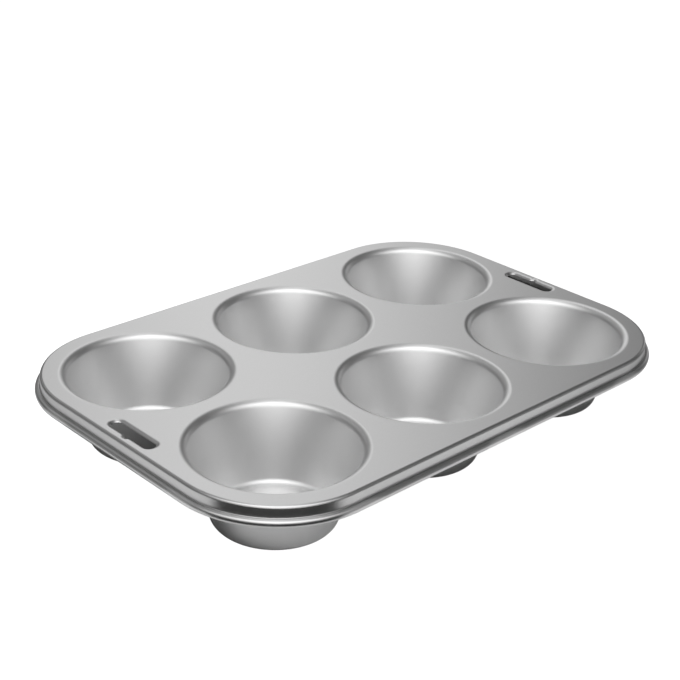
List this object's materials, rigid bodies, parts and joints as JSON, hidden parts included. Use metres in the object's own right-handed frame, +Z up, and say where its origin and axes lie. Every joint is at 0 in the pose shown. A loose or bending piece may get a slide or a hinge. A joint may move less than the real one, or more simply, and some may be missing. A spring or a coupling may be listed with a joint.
{
  "type": "jumbo muffin pan",
  "caption": "Drawn steel pan that bakes jumbo muffins in round tapered cups, with a wire-stiffened rolled rim and a hanging slot at each short end.",
  "frame": {"origin": "on the surface that the pan stands on, under the middle of its bounding box", "axes": "+X along the pan towards one hanging slot, +Y across it, +Z up out of the cups"},
  "size_m": [0.343, 0.2354, 0.0444],
  "materials": {
    "pan_steel": "satin",
    "wire_steel": "drawn"
  },
  "bodies": {
    "root": {"deck": "pan_steel", "cup_1": "pan_steel", "cup_2": "pan_steel", "cup_3": "pan_steel", "cup_4": "pan_steel", "cup_5": "pan_steel", "cup_6": "pan_steel", "rim_wire": "wire_steel"}
  },
  "joints": []
}
